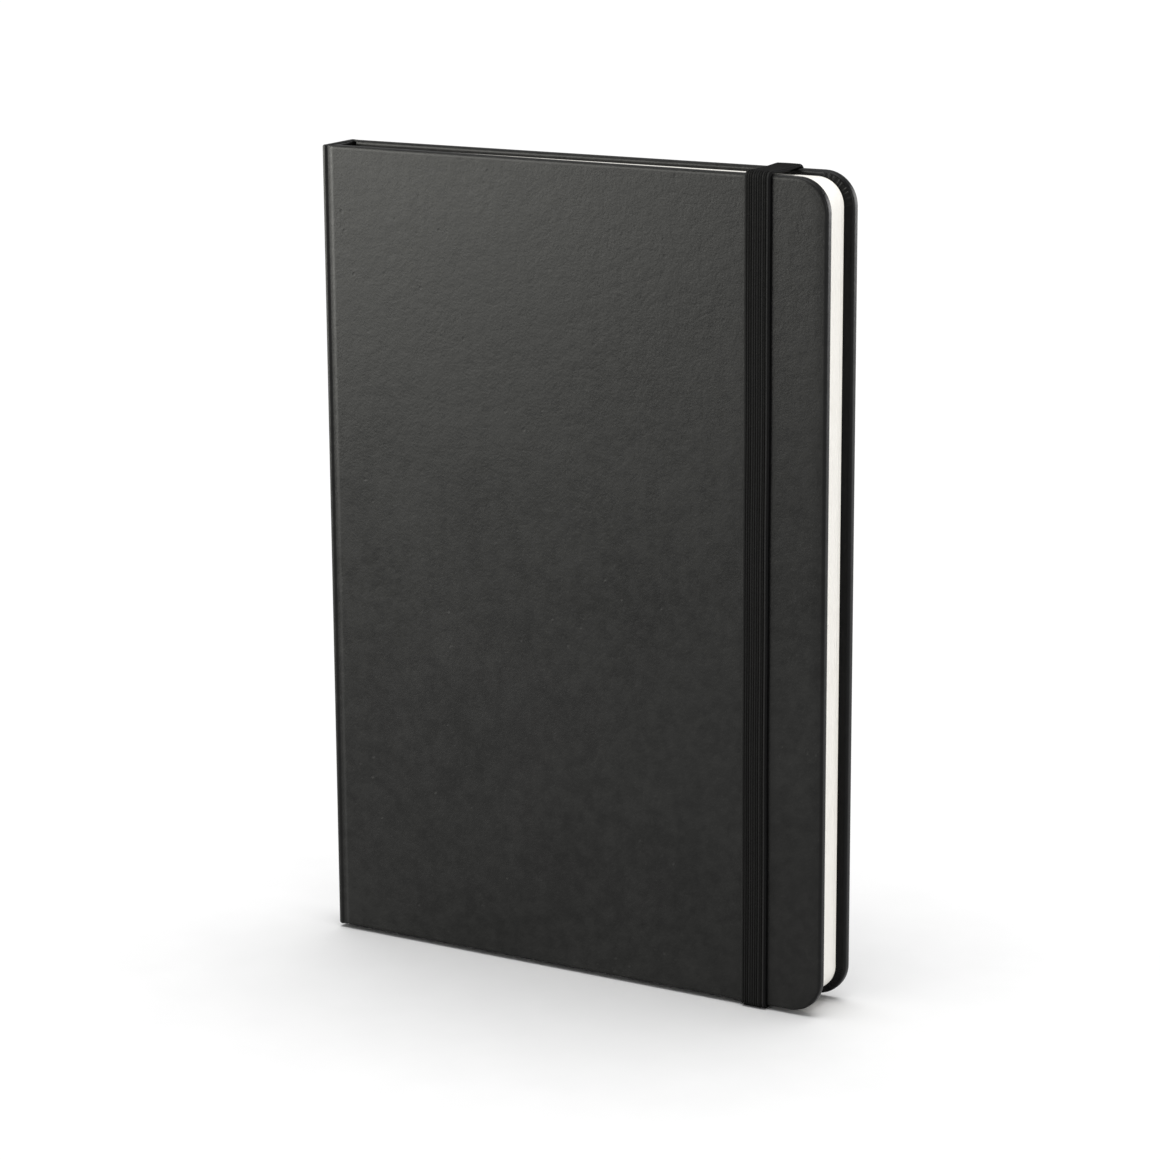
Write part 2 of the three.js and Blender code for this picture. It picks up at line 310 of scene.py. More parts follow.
def twisted_thread(name):
    """Linen thread: the twist shows as bands across it."""
    p = Paint(name)
    twist = p.wave(420, "DIAGONAL", 0.5)
    base = p.color(p.total((twist, 0.7), (p.noise(900), 0.3)), (0.3, (0.55, 0.51, 0.43)),
                   (0.7, (0.80, 0.77, 0.68)))
    return p.finish(base, p.between(twist, 0.65, 0.85), twist, 0.05 * MM, Specular_IOR_Level=0.35)


LEATHERETTE = leatherette("black_leatherette")
ELASTIC = elastic_cloth("black_ribbed_elastic")
PAGES = paper("drawing_paper", (0.885, 0.865, 0.820), (0.845, 0.823, 0.775))
ENDPAPER = paper("endpaper", (0.850, 0.825, 0.765), (0.800, 0.770, 0.705), tooth=0.03)
LINING = paper("kraft_lining", (0.560, 0.480, 0.360), (0.440, 0.370, 0.270))
GAUZE = open_weave("starched_gauze")
THREAD = twisted_thread("sewing_thread")

# Softboxes: name, place, what it is aimed at, size, power, colour, materials that it lights
SOFTBOXES = [
    ("key_left_softbox", (-0.66, -0.445, 0.41), (-0.05, 0, 0.18), (1.0, 0.8), 40.0,
     (1.0, 0.995, 0.93), (LEATHERETTE, ELASTIC)),
    ("fore_edge_softbox", (1.1, -0.35, 0.50), (0.07, 0, 0.10), (0.6, 0.6), 6.8,
     (1.0, 1.0, 1.0), (LEATHERETTE, ELASTIC, PAGES, ENDPAPER)),
    ("rear_softbox", (0.62, 0.95, 0.30), (0.07, 0, 0.10), (0.7, 0.5), 7.5,
     (1.0, 1.0, 1.0), (LEATHERETTE, ELASTIC)),
]


# ---- Meshes ----
class Shape:
    """Points and faces gathered from grids, welded where they meet."""

    def __init__(self):
        self.points, self.faces, self.edge = [], [], []

    def grid(self, points, edge=0.0, wrap_rows=False, wrap_columns=False):
        """Adds a sheet of four-sided faces over an array of points [row][column]."""
        points = np.asarray(points, float)
        rows, columns = points.shape[:2]
        first = len(self.points)
        self.points.extend(points.reshape(-1, 3))
        self.edge.extend(np.broadcast_to(edge, (rows, columns)).ravel())
        for r in range(rows if wrap_rows else rows - 1):
            for c in range(columns if wrap_columns else columns - 1):
                near, far = first + r * columns, first + (r + 1) % rows * columns
                after = (c + 1) % columns
                self.faces.append((near + c, near + after, far + after, far + c))
        return self

    def fan(self, loop):
        """Adds a flat lid over a closed loop of points."""
        first = len(self.points)
        self.points.extend(np.asarray(loop, float))
        self.edge.extend([0.0] * len(loop))
        self.faces.append(tuple(range(first, first + len(loop))))
        return self

    def build(self, name, material, slot, body=None, thickness=0.0, sharp=None):
        """Makes the object. Each point keeps its place at rest, so no finish slides in a bend."""
        mesh = bpy.data.meshes.new(name)
        points = flared(np.array(self.points))
        mesh.from_pydata([tuple(p) for p in points], [], self.faces)
        work = bmesh.new()
        work.from_mesh(mesh)
        # 'edge' holds how rubbed a covering is, and on the elastic band the painted light and shade
        # of its ribs.
        layer = work.verts.layers.float.new("edge")
        work.verts.ensure_lookup_table()
        for vert, value in zip(work.verts, self.edge):
            vert[layer] = float(value)
        bmesh.ops.remove_doubles(work, verts=work.verts, dist=WELD)
        bmesh.ops.recalc_face_normals(work, faces=work.faces)
        work.to_mesh(mesh)
        work.free()
        mesh.polygons.foreach_set("use_smooth", [True] * len(mesh.polygons))
        if sharp is not None:
            mesh.set_sharp_from_angle(angle=math.radians(sharp))
        rest = mesh.attributes.new("rest", "FLOAT_VECTOR", "POINT")
        rest.data.foreach_set("vector", np.array([v.co for v in mesh.vertices], np.float32).ravel())
        mesh.materials.append(material)
        obj = bpy.data.objects.new(name, mesh)
        bpy.context.scene.collection.objects.link(obj)
        if thickness:
            solidify = obj.modifiers.new("thickness", "SOLIDIFY")
            solidify.thickness, solidify.offset = thickness * widening(LEAF_EDGE_X), 0
            solidify.vertex_group = "room"
            group = obj.vertex_groups.new(name="room")
            for vert in mesh.vertices:
                group.add([vert.index], widening(vert.co.x) / widening(LEAF_EDGE_X), "REPLACE")
        if body:
            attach(obj, body)
        return obj


def widening(x):
    """How much more room the leaves have at a distance from the spine than at the spine."""
    return 1 + FLARE * (x - SPINE_X) / LEAVES_HALF


def flared(points):
    """Points of a parallel book moved to their places in the wedge."""
    reach = FLARE * (points[:, 0] - SPINE_X)
    points[:, 1] += reach * np.clip(points[:, 1] / LEAVES_HALF, -1, 1)
    return points


def parallel_span(name):
    """The Y range that a leaf has at the spine, from its box in the wedge."""
    low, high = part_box(name)
    return (low.y / widening(high.x if low.y < 0 else low.x),
            high.y / widening(high.x if high.y > 0 else low.x))


def smoothstep(value):
    value = np.clip(value, 0, 1)
    return value * value * (3 - 2 * value)


def values(*runs):
    """Sorted values of several (low, high, count) runs, without repeats."""
    return np.unique(np.concatenate([np.linspace(*run) for run in runs]).round(8))


def fore_edge_side(inset, low_z, high_z, high_x, radius, rows=ROW_STEPS, steps=CORNER_STEPS):
    """The fore-edge side of an outline, from the end of its tail edge to the start of its head."""
    turn = np.linspace(0, math.pi / 2, steps)
    r, centre_x = radius - inset, high_x - radius
    straight_z = np.linspace(low_z + radius, high_z - radius, rows)[1:-1]
    x = np.concatenate([centre_x + r * np.sin(turn), np.full(len(straight_z), high_x - inset),
                        centre_x + r * np.cos(turn)])
    z = np.concatenate([low_z + radius - r * np.cos(turn), straight_z,
                        high_z - radius + r * np.sin(turn)])
    return x, z


def swell(x, z):
    """The very slight unevenness of a pasted covering over its board."""
    u, v = x / UNEVENNESS_LENGTH, z / UNEVENNESS_LENGTH
    return UNEVENNESS * (1 + np.sin(2.1 * u + 1.3 * np.sin(1.7 * v)) * np.cos(1.9 * v + 0.8 * u))


def joint_profile(x):
    """Along a cover: its outer face's depth below the plane, its thickness, the board's share."""
    board = smoothstep((x - BOARD_END_X + BOARD_SLOPE) / BOARD_SLOPE)
    corner = 1 - smoothstep((x - SEAM_X) / SEAM_SLOPE)
    thickness = JOINT_SHEET + (COVER_THICKNESS - JOINT_SHEET) * board
    return JOINT_DIP * (1 - board) * (1 - corner), thickness, board


EDGE_TURNS = np.radians([0, 18, 36, 54, 72, 90])
EDGE_RINGS = [(turn, False) for turn in EDGE_TURNS] + [(turn, True) for turn in EDGE_TURNS[::-1]]


def edge_wear(turn, inner):
    """How rubbed the covering is round an edge, strongest in the middle of its outer curve."""
    return 0.0 if inner else float(np.sin(2 * turn)) * COVER_WEAR


def end_scale(radius):
    """Brings the rows of an outline to where an edge of another radius starts."""
    return (HALF_HEIGHT - radius) / (HALF_HEIGHT - EDGE_RADIUS)


def add_cover(shape, side):
    """A covered board and its joint: a closed slab with rounded edges and two round corners."""
    straight_end = FORE_EDGE_X - COVER_CORNER
    columns = values((SEAM_X, straight_end, 48), (SEAM_X, BOARD_END_X + 0.6 * MM, 22))
    share = (columns - SEAM_X) / (straight_end - SEAM_X)
    radius = np.minimum(EDGE_RADIUS, joint_profile(columns)[1] / 2)

    def place(x, depth, z):
        return np.stack([x, FACE_Y[side] - side * depth, z], -1)

    side_x, side_z = fore_edge_side(EDGE_RADIUS, TAIL_Z, HEAD_Z, FORE_EDGE_X, COVER_CORNER)
    x = SEAM_X + (side_x[:, None] - SEAM_X) * share
    z = MIDDLE_Z + (side_z[:, None] - MIDDLE_Z) * end_scale(radius)
    dip, thickness, board = joint_profile(x)
    shape.grid(place(x, dip + swell(x, z) * board, z))
    shape.grid(place(x, dip + thickness, z))

    rings, wear = [], []
    for turn, inner in EDGE_RINGS:
        inset, drop = 1 - math.sin(turn), 1 - math.cos(turn)
        ring_x, ring_z = fore_edge_side(EDGE_RADIUS * inset, TAIL_Z, HEAD_Z, FORE_EDGE_X,
                                        COVER_CORNER)
        round_end = np.full(len(ring_x), EDGE_RADIUS)
        line_x = np.concatenate([columns[:-1], ring_x, columns[-2::-1]])
        line_z = np.concatenate([TAIL_Z + radius[:-1] * inset, ring_z,
                                 HEAD_Z - radius[-2::-1] * inset])
        line_r = np.concatenate([radius[:-1], round_end, radius[-2::-1]])
        dip, thickness, board = joint_profile(line_x)
        if inner:
            depth = dip + thickness - line_r * drop
        else:
            fading = 1 - turn / (math.pi / 2)
            depth = dip + line_r * drop + swell(line_x, line_z) * board * fading
        rings.append(place(line_x, depth, line_z))
        wear.append(np.full(len(line_x), edge_wear(turn, inner)))
    shape.grid(rings, np.array(wear))
    return shape


def add_spine(shape):
    """The covering from joint to joint round the spine's two corners, with folded ends."""
    outer = []
    corner = np.linspace(0, math.pi / 2, 7)
    for side in (-1, 1):
        flat_x = np.linspace(SEAM_X, SPINE_X + SPINE_CORNER, 3)[:-1]
        path = [(x, side * HALF) for x in flat_x]
        path += [(SPINE_X + SPINE_CORNER * (1 - math.sin(a)),
                  side * (HALF - SPINE_CORNER * (1 - math.cos(a)))) for a in corner]
        outer += path if side < 0 else path[::-1]
        if side < 0:
            back_y = np.linspace(-HALF + SPINE_CORNER, HALF - SPINE_CORNER, 18)[1:-1]
            outer += [(SPINE_X, y) for y in back_y]
    outer = np.array(outer)
    along = np.concatenate([[0], np.cumsum(np.linalg.norm(np.diff(outer, axis=0), axis=1))])
    near = np.minimum(along, along[-1] - along)
    rise = smoothstep(near / SPINE_RISE)
    inner_x = SEAM_X + (SPINE_X + SPINE_SHEET - SEAM_X) * smoothstep(near / SPINE_STEP)
    joint_face = HALF - JOINT_SHEET
    inner_y = np.where(rise < 1, np.sign(outer[:, 1]) * (joint_face - SPINE_CLEARANCE * rise),
                       outer[:, 1])
    limit = joint_face - SPINE_CLEARANCE
    inner_y = np.clip(inner_y, -limit, limit)
    inner_y = np.where(rise <= 0, np.sign(outer[:, 1]) * joint_face, inner_y)
    inner = np.stack([inner_x, inner_y], -1)
    radius = JOINT_SHEET / 2 + (SPINE_END_RADIUS - JOINT_SHEET / 2) * rise
    side_z = fore_edge_side(EDGE_RADIUS, TAIL_Z, HEAD_Z, FORE_EDGE_X, COVER_CORNER)[1]
    across = inner - outer
    across /= np.linalg.norm(across, axis=1)[:, None]

    def place(flat, z):
        return np.concatenate([flat, np.broadcast_to(z, len(flat))[:, None]], 1)

    def ring(turn, is_inner, top):
        inset, drop = radius * (1 - math.sin(turn)), (radius * (1 - math.cos(turn)))[:, None]
        flat = inner - across * drop if is_inner else outer + across * drop
        return place(flat, HEAD_Z - inset if top else TAIL_Z + inset)

    scale = end_scale(radius)
    rows = [place(outer, MIDDLE_Z + (z - MIDDLE_Z) * scale) for z in side_z]
    wear = [0.0] * len(rows)
    for turn, is_inner in EDGE_RINGS[1:-1]:
        rows.append(ring(turn, is_inner, True))
        wear.append(edge_wear(turn, is_inner))
    rows += [place(inner, MIDDLE_Z + (z - MIDDLE_Z) * scale) for z in side_z[::-1]]
    wear += [0.0] * len(side_z)
    for turn, is_inner in EDGE_RINGS[::-1][1:-1]:
        rows.append(ring(turn, is_inner, False))
        wear.append(edge_wear(turn, is_inner))
    corner_wear = np.exp(-(((near - CORNER_WEAR_PLACE) / CORNER_WEAR_SPREAD) ** 2)) * SPINE_WEAR
    shape.grid(rows, np.maximum(np.array(wear)[:, None], corner_wear[None]), wrap_rows=True)
    return shape


def add_pleats(side, name, body):
    """Small folds of the turn-in, gathered round the two corners on a cover's inner face."""
    shape = Shape()
    face_y = FACE_Y[side] - side * COVER_THICKNESS
    centre_x = FORE_EDGE_X - COVER_CORNER
    along = np.linspace(0, 1, 8)
    across = np.radians(np.linspace(0, 180, 7))
    for way, centre_z in ((-1, TAIL_Z + COVER_CORNER), (1, HEAD_Z - COVER_CORNER)):
        for turn in np.radians(np.linspace(6, 84, PLEATS)) + rng.uniform(-0.04, 0.04, PLEATS):
            reach = rng.uniform(0.45, 0.62) * COVER_CORNER
            radius = (COVER_CORNER - PLEAT_INSET) - reach * along
            half_width = PLEAT_WIDTH / 2 * rng.uniform(0.75, 1.2) * (1 - 0.75 * along)
            height = PLEAT_HEIGHT * rng.uniform(0.7, 1.1)
            height = height * np.sin(np.pi * (0.15 + 0.85 * along)) ** 0.6
            bend = rng.uniform(-PLEAT_BEND, PLEAT_BEND) * along ** 2
            off = half_width[:, None] * np.cos(across) + bend[:, None]
            x = centre_x + radius[:, None] * math.sin(turn) + off * math.cos(turn)
            z = centre_z + way * (radius[:, None] * math.cos(turn) - off * math.sin(turn))
            y = face_y - side * (height[:, None] * np.sin(across) - PLEAT_SINK)
            shape.grid(np.stack([x, y, z], -1), PLEAT_WEAR * np.sin(across)[None])
    shape.build(name, LEATHERETTE, "leatherette", body)


def add_case():
    """Both covers, the spine between them and the turn-ins' folds."""
    front = add_cover(Shape(), -1).build("front_covering", LEATHERETTE, "leatherette",
                                         sharp=CASE_CREASE)
    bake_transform(front)
    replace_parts(front, "front_cover_wrap", "front_joint_wrap", "front_board")
    back = add_spine(add_cover(Shape(), 1)).build("spine_and_back_covering", LEATHERETTE,
                                                  "leatherette", "root", sharp=CASE_CREASE)
    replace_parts(back, "back_cover_wrap", "back_joint_wrap", "spine_wrap", "spine_stiffener",
                "back_board")
    add_pleats(-1, "front_corner_pleats", "front_cover")
    add_pleats(1, "back_corner_pleats", "root")


def add_pastedown(side, name):
    """The paper inside a cover. The edge of the covering's turn-in shows through as a low step."""
    low_z, high_z = TAIL_Z + PASTEDOWN_MARGIN, HEAD_Z - PASTEDOWN_MARGIN
    high_x = FORE_EDGE_X - PASTEDOWN_MARGIN
    straight_end = high_x - PASTEDOWN_CORNER
    columns = values((FOLD_X, straight_end, 44), (FOLD_X, FOLD_X + 3 * MM, 16),
                     (FORE_EDGE_X - TURN_IN - TURN_IN_NEAR, straight_end, 8))
    side_x, side_z = fore_edge_side(0, low_z, high_z, high_x, PASTEDOWN_CORNER)
    near_turn_in = np.linspace(-TURN_IN_NEAR, TURN_IN_NEAR, 9)
    extra_z = np.concatenate([TAIL_Z + TURN_IN + near_turn_in, HEAD_Z - TURN_IN + near_turn_in])
    side_x = np.concatenate([side_x, np.full(len(extra_z), high_x)])
    side_z = np.concatenate([side_z, extra_z])
    order = np.argsort(side_z, kind="stable")
    side_x, side_z = side_x[order], side_z[order]
    share = (columns - FOLD_X) / (straight_end - FOLD_X)
    x = FOLD_X + (side_x[:, None] - FOLD_X) * share
    z = np.broadcast_to(side_z[:, None], x.shape)
    inside = np.minimum(np.minimum(z - TAIL_Z, HEAD_Z - z), FORE_EDGE_X - x)
    step = TURN_IN_STEP * smoothstep((inside - TURN_IN) / TURN_IN_STEP_WIDTH + 0.5)
    step = step * smoothstep((x - FOLD_X - GUTTER_FLAT) / GUTTER_FLAT)
    depth = COVER_THICKNESS + PASTEDOWN_THICKNESS / 2 - step
    made = Shape().grid(np.stack([x, FACE_Y[side] - side * depth, z], -1)).build(
        name, ENDPAPER, "endpaper", thickness=PASTEDOWN_THICKNESS)
    if side < 0:
        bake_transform(made)
    else:
        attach(made, "root")
    return made


def add_leaf_sheet(shape, path_x, path_y, reach, low_z, high_z):
    """One sheet along a line in plan, cut to round corners where it reaches the fore-edge."""
    high_x = LEAF_EDGE_X - reach
    side_x, side_z = fore_edge_side(0, low_z, high_z, high_x, LEAF_CORNER, rows=24, steps=12)
    straight_end = high_x - LEAF_CORNER
    share = np.clip((path_x - FOLD_X) / (straight_end - FOLD_X), 0, 1)
    x = path_x + (side_x[:, None] - straight_end) * share
    y = np.broadcast_to(path_y, x.shape)
    z = np.broadcast_to(side_z[:, None], x.shape)
    shape.grid(np.stack([x, y, z], -1))


def leaf_columns(start_x, straight_end):
    """Places along a leaf, closer where it bends."""
    return values((start_x, straight_end, 16), (start_x, start_x + LEAF_BEND, 14))


def add_flyleaf(name):
    """A single leaf of endpaper."""
    low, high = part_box(name)
    near_y, far_y = parallel_span(name)
    shape = Shape()
    columns = leaf_columns(FOLD_X, LEAF_EDGE_X - LEAF_CORNER)
    add_leaf_sheet(shape, columns, np.full(len(columns), (near_y + far_y) / 2), 0, low.z, high.z)
    leaf = shape.build(name + "_sheet", ENDPAPER, "endpaper",
                       thickness=SHEET_FILL * (far_y - near_y))
    bend_leaf(leaf)
    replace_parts(leaf, name)


def bend_leaf(leaf):
    """Bakes a leaf's place into its mesh."""
    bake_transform(leaf)


def add_signature(name):
    """Folded sheets, one inside the other, each with a front leaf, a round fold and a back leaf."""
    low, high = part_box(name)
    near_y, far_y = parallel_span(name)
    middle_y = (near_y + far_y) / 2
    pitch = (far_y - near_y) / (2 * SHEETS_PER_SIGNATURE)
    shape = Shape()
    for sheet in range(SHEETS_PER_SIGNATURE):
        fold_radius = pitch * (sheet + 0.5)
        fold_centre_x = FOLD_X + pitch * SHEETS_PER_SIGNATURE
        reach = rng.uniform(0.02, 0.14) * MM
        trim = rng.uniform(0.0, 0.05, 2) * MM
        straight_end = LEAF_EDGE_X - reach - LEAF_CORNER
        columns = leaf_columns(fold_centre_x, straight_end)
        turn = np.linspace(0, math.pi, 7)[1:-1]
        path_x = np.concatenate([columns[::-1], fold_centre_x - fold_radius * np.sin(turn),
                                 columns])
        path_y = np.concatenate([np.full(len(columns), middle_y - fold_radius),
                                 middle_y - fold_radius * np.cos(turn),
                                 np.full(len(columns), middle_y + fold_radius)])
        add_leaf_sheet(shape, path_x, path_y, reach, low.z + trim[0], high.z - trim[1])
    leaves = shape.build(name + "_leaves", PAGES, "paper", thickness=SHEET_FILL * pitch)
    bend_leaf(leaves)
    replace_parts(leaves, name)


def add_text_block():
    """The leaves, one for each of the frame's leaf joints, and the papers inside the covers."""
    for joint in frame["joints"]:
        name = joint["name"].removesuffix("_turn")
        if name.endswith("flyleaf"):
            add_flyleaf(name)
        elif name.startswith("signature"):
            add_signature(name)
    for side, name in ((-1, "front_pastedown"), (1, "back_pastedown")):
        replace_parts(add_pastedown(side, name + "_sheet"), name)


def add_spine_strip(name, material, slot):
    """A strip glued down the folds, bowed a little along its width."""
    low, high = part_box(name)
    y, z = np.linspace(low.y, high.y, 24), np.linspace(low.z, high.z, 60)
    bow = np.cos(y / high.y * math.pi / 2)[None] * np.sin(z * STRIP_WAVES)[:, None]
    x = (low.x + high.x) / 2 + STRIP_BOW * bow
    points = np.stack(np.broadcast_arrays(x, y[None], z[:, None]), -1)
    strip = Shape().grid(points).build(name + "_strip", material, slot, "root",
                                       thickness=STRIP_FILL * (high.x - low.x))
    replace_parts(strip, name)


def add_stitch(name):
    """One row of sewing: a twisted thread that dips into the fold of each section."""
    low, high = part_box(name)
    signatures = sum(1 for joint in frame["joints"] if joint["name"].startswith("signature"))
    y = np.linspace(low.y + YARN_END_GAP, high.y - YARN_END_GAP, 8 * signatures + 1)
    phase = (y - low.y) / (high.y - low.y) * signatures * 2 * math.pi
    middle_x, middle_z = (low.x + high.x) / 2, (low.z + high.z) / 2
    turn = np.linspace(0, 2 * math.pi, 9)[:-1]
    x = middle_x + YARN_SWAY * np.cos(phase)[:, None] + YARN_RADIUS * np.cos(turn)[None]
    z = middle_z + YARN_RISE * np.sin(phase / 2)[:, None] + YARN_RADIUS * np.sin(turn)[None]
    points = np.stack([x, np.broadcast_to(y[:, None], x.shape), z], -1)
    shape = Shape().grid(points, wrap_columns=True).fan(points[0]).fan(points[-1])
    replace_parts(shape.build(name + "_yarn", THREAD, "thread", "root"), name)


# ---- Elastic band ----
def arc(centre, radius, start, end, steps):
    """Points round a circle, from one angle to another in degrees."""
    angles = np.radians(np.linspace(start, end, steps))
    return [(centre[0] + radius * math.cos(a), centre[1] + radius * math.sin(a)) for a in angles]


def strap_half(face_y, edge_z, mid_z, slit_z, back_y, top):
    """The band's middle line in Y and Z over one end of the book, from the front to the slit."""
    way = 1 if top else -1
    turn_z = edge_z - way * STRAP_TURN
    centre_front, centre_back = (-face_y + STRAP_TURN, turn_z), (face_y - STRAP_TURN, turn_z)
    span = np.linspace(-1, 1, 17)[1:-1]
    over = [(s * (face_y - STRAP_TURN),
             edge_z - way * STRAP_SAG * math.cos(s * math.pi / 2) ** 2) for s in span]
    line = [(-face_y, z) for z in np.linspace(mid_z, turn_z, 40)[:-1]]
    line += arc(centre_front, STRAP_TURN, 180, 180 - way * 90, 9) + over
    line += arc(centre_back, STRAP_TURN, way * 90, 0, 9)
    bend_z = slit_z + way * SLIT_TURN
    line += [(face_y, z) for z in np.linspace(turn_z, bend_z, 12)[1:-1]]
    line += arc((face_y - SLIT_TURN, bend_z), SLIT_TURN, 0, -way * 90, 7)
    line += [(back_y, slit_z)]
    return line


def strap_section():
    """Points across the band: u along its width, v out of it, and the painted light and shade of
    the ribs.
    """
    half_width, half_thick = (strap_high.x - strap_low.x) / 2, STRAP_THICKNESS / 2
    flat = half_width - STRAP_EDGE
    u = np.linspace(-flat, flat, STRAP_RIBS * 6 + 1)
    rise = np.sqrt(np.abs(np.sin(u / flat * STRAP_RIBS * math.pi / 2)))
    rib = STRAP_RIB_DEPTH * rise
    crown = STRAP_CROWN * (1 - (u / flat) ** 2)
    outer_v = half_thick - crown.max() - STRAP_RIB_DEPTH + rib + crown
    inner_v = -half_thick + STRAP_RIB_DEPTH - rib
    rim = []
    for turn in np.linspace(0, math.pi, 8)[1:-1]:
        middle = (outer_v[-1] + inner_v[-1]) / 2
        reach = (outer_v[-1] - inner_v[-1]) / 2
        rim.append((STRAP_EDGE * math.sin(turn), middle + reach * math.cos(turn)))
    # Painted highlights: each rib gets a random strength, so a few crests are painted as bright
    # glints.
    painted_rib_glints = 1.5 * rng.uniform(0.1, 1, STRAP_RIBS) ** 2
    # Painted light and shade: the tone follows each rib's rise, lighter on crests and darker in
    # grooves.
    tone = rise * painted_rib_glints[np.clip(((u / flat + 1) / 2 * STRAP_RIBS).astype(int), 0, STRAP_RIBS - 1)]
    right = [(flat + r, v, STRAP_EDGE_PAINTED_LIGHT) for r, v in rim]
    left = [(-flat - r, v, STRAP_EDGE_PAINTED_LIGHT) for r, v in rim[::-1]]
    outside = list(zip(u, outer_v, tone))
    inside = list(zip(u[::-1], inner_v[::-1], tone[::-1]))
    return np.array(outside + right + inside + left)


def add_strap():
    """The whole band as one closed strip."""
    middle_x = (strap_low.x + strap_high.x) / 2
    outer_y = -strap_low.y - FLARE * (strap_high.x - SPINE_X)
    inner_y = -strap_high.y - FLARE * (strap_low.x - SPINE_X)
    face_y = (outer_y + inner_y) / 2
    slit_back_y = HALF - SLIT_DEPTH
    head_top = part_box("elastic_head_turn")[1].z - STRAP_THICKNESS / 2
    tail_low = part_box("elastic_tail_turn")[0].z + STRAP_THICKNESS / 2
    head = strap_half(face_y, head_top, MIDDLE_Z, HEAD_Z - SLIT_INSET, slit_back_y, True)
    tail = strap_half(face_y, tail_low, MIDDLE_Z, TAIL_Z + SLIT_INSET, slit_back_y, False)
    line = np.array(tail[::-1] + head[1:])
    along = np.gradient(line, axis=0)
    along /= np.linalg.norm(along, axis=1)[:, None]
    out = np.stack([-along[:, 1], along[:, 0]], 1)
    section = strap_section()
    flat = line[:, None, :] + out[:, None, :] * section[None, :, 1:2]
    length = np.concatenate([[0], np.cumsum(np.linalg.norm(np.diff(line, axis=0), axis=1))])
    long, short = STRAP_STRAY_LENGTHS
    stray = STRAP_STRAY * (np.sin(length / long) + 0.6 * np.sin(length / short + 1))
    x = middle_x + stray[:, None] + section[None, :, 0]
    points = np.concatenate([x[..., None], flat], -1)
    # The section's third column, the painted light and shade of the ribs, goes into the mesh's
    # 'edge' attribute.
    shape = Shape().grid(points, section[None, :, 2], wrap_columns=True)
    strap = shape.build("elastic_strap", ELASTIC, "elastic", sharp=STRAP_CREASE)
    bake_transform(strap)
    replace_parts(strap, "elastic_front_run", "elastic_head_turn", "elastic_tail_turn",
                "elastic_head_end", "elastic_tail_end")


def add_slit_rim(name, middle_z):
    """The covering stands up a little round the slit that a band end goes through."""
    middle_x = (strap_low.x + strap_high.x) / 2
    corner_x, corner_z = SLIT_HALF_WIDTH - SLIT_CORNER, SLIT_HALF_HEIGHT - SLIT_CORNER
    path = []
    for cx, cz, start in ((1, 1, 0), (-1, 1, 90), (-1, -1, 180), (1, -1, 270)):
        path += arc((middle_x + cx * corner_x, middle_z + cz * corner_z), SLIT_CORNER,
                    start, start + 90, 6)
    path = np.array(path)
    centre = np.array([middle_x, middle_z])
    out = path - centre
    out /= np.linalg.norm(out, axis=1)[:, None]
    turn = np.linspace(0, 2 * math.pi, 9)[:-1]
    flat = path[:, None, :] + out[:, None, :] * (SLIT_RIM * np.cos(turn))[None, :, None]
    y = FACE_Y[1] - SLIT_SINK + np.broadcast_to((SLIT_RIM * np.sin(turn))[None], flat.shape[:2])
    points = np.stack([flat[..., 0], y, flat[..., 1]], -1)
    rim = Shape().grid(points, wrap_rows=True, wrap_columns=True)
    rim.build(name, LEATHERETTE, "leatherette", "root")


add_case()
add_text_block()
add_spine_strip("spine_gauze", GAUZE, "gauze")
add_spine_strip("spine_lining", LINING, "lining")
for name in sorted(frame["nodes"]):
    if name.startswith("sewing_thread"):
        add_stitch(name)
add_strap()
add_slit_rim("head_slit_rim", HEAD_Z - SLIT_INSET)
add_slit_rim("tail_slit_rim", TAIL_Z + SLIT_INSET)


# ---- Studio ----
def add_floor():
    p = Paint("pale_floor", rest=False)
    grain = p.noise(60, 3, 0.5)
    base = p.color(grain, (0.3, (0.90, 0.90, 0.90)), (0.7, (0.915, 0.915, 0.915)))
    rough = p.between(grain, 0.85, 0.92)
    material = p.finish(base, rough, grain, 0.05 * MM, Specular_IOR_Level=0.2)
    mesh = bpy.data.meshes.new("floor")
    corners = [(x * FLOOR_HALF, y * FLOOR_HALF, 0) for x, y in ((-1, -1), (1, -1), (1, 1), (-1, 1))]
    mesh.from_pydata(corners, [], [(0, 1, 2, 3)])
    mesh.materials.append(material)
    floor = bpy.data.objects.new("floor", mesh)
    bpy.context.scene.collection.objects.link(floor)


def add_light(name, kind, place, aim, power):
    """A lamp that lights the scene but is never seen itself."""
    light = bpy.data.lights.new(name, kind)
    light.energy = power
    obj = bpy.data.objects.new(name, light)
    obj.location = place
    obj.rotation_euler = (Vector(aim) - Vector(place)).to_track_quat("-Z", "Y").to_euler()
    obj.visible_camera = False
    bpy.context.scene.collection.objects.link(obj)
    return obj


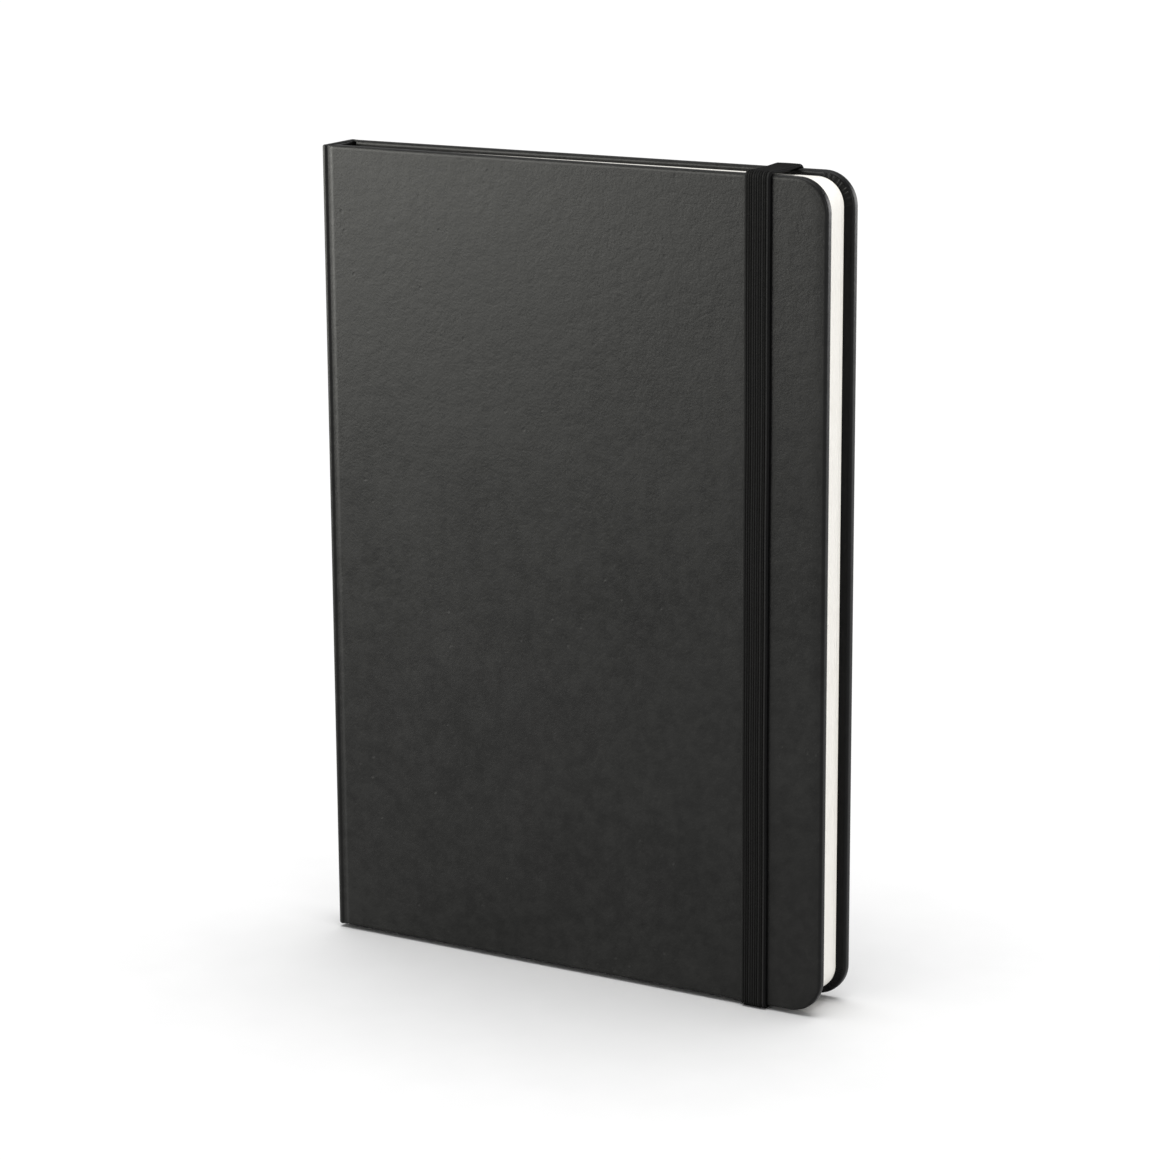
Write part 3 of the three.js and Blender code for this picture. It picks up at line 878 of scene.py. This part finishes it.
def light_only(lamp, materials):
    """Keeps a softbox to some materials, so it neither burns out pages nor lights the floor."""
    lit = bpy.data.collections.new(lamp.name + "_lit")
    for obj in bpy.context.scene.objects:
        if obj.type == "MESH" and any(m in materials for m in obj.data.materials):
            lit.objects.link(obj)
    lamp.light_linking.receiver_collection = lit


def add_studio():
    """A pale world and floor, a soft light from above, and the softboxes."""
    world = bpy.data.worlds.new("studio")
    bpy.context.scene.world = world
    world.use_nodes = True
    background = world.node_tree.nodes["Background"]
    background.inputs["Color"].default_value = STUDIO_WHITE
    background.inputs["Strength"].default_value = STUDIO_STRENGTH
    overhead = add_light("overhead_light", "SUN", (0, 0, 2), (0, 0, 0), OVERHEAD_STRENGTH)
    overhead.data.angle = math.radians(OVERHEAD_ANGLE)
    add_floor()
    for name, place, aim, size, power, color, materials in SOFTBOXES:
        lamp = add_light(name, "AREA", place, aim, power)
        lamp.data.color = color
        lamp.data.shape, lamp.data.size, lamp.data.size_y = "RECTANGLE", *size
        light_only(lamp, materials)


def add_camera():
    """A plain camera at the photo's angle, aimed beside the middle of the book."""
    azimuth, elevation = math.radians(CAMERA_AZIMUTH), math.radians(CAMERA_ELEVATION)
    roll = math.radians(CAMERA_ROLL)
    back = Vector((math.sin(azimuth) * math.cos(elevation),
                   -math.cos(azimuth) * math.cos(elevation), math.sin(elevation)))
    level = Vector((math.cos(azimuth), math.sin(azimuth), 0))
    rise = back.cross(level)
    right = level * math.cos(roll) + rise * math.sin(roll)
    up = rise * math.cos(roll) - level * math.sin(roll)
    place = BOOK_MIDDLE + right * CAMERA_AIM[0] + up * CAMERA_AIM[1] + back * CAMERA_DISTANCE
    data = bpy.data.cameras.new("camera")
    data.lens, data.sensor_width = CAMERA_LENS, CAMERA_SENSOR
    camera = bpy.data.objects.new("camera", data)
    rows = [(*axes, place[i]) for i, axes in enumerate(zip(right, up, back))]
    camera.matrix_world = Matrix(rows + [(0, 0, 0, 1)])
    bpy.context.scene.collection.objects.link(camera)
    bpy.context.scene.camera = camera


bpy.context.scene.view_settings.view_transform = "Standard"
add_studio()
add_camera()
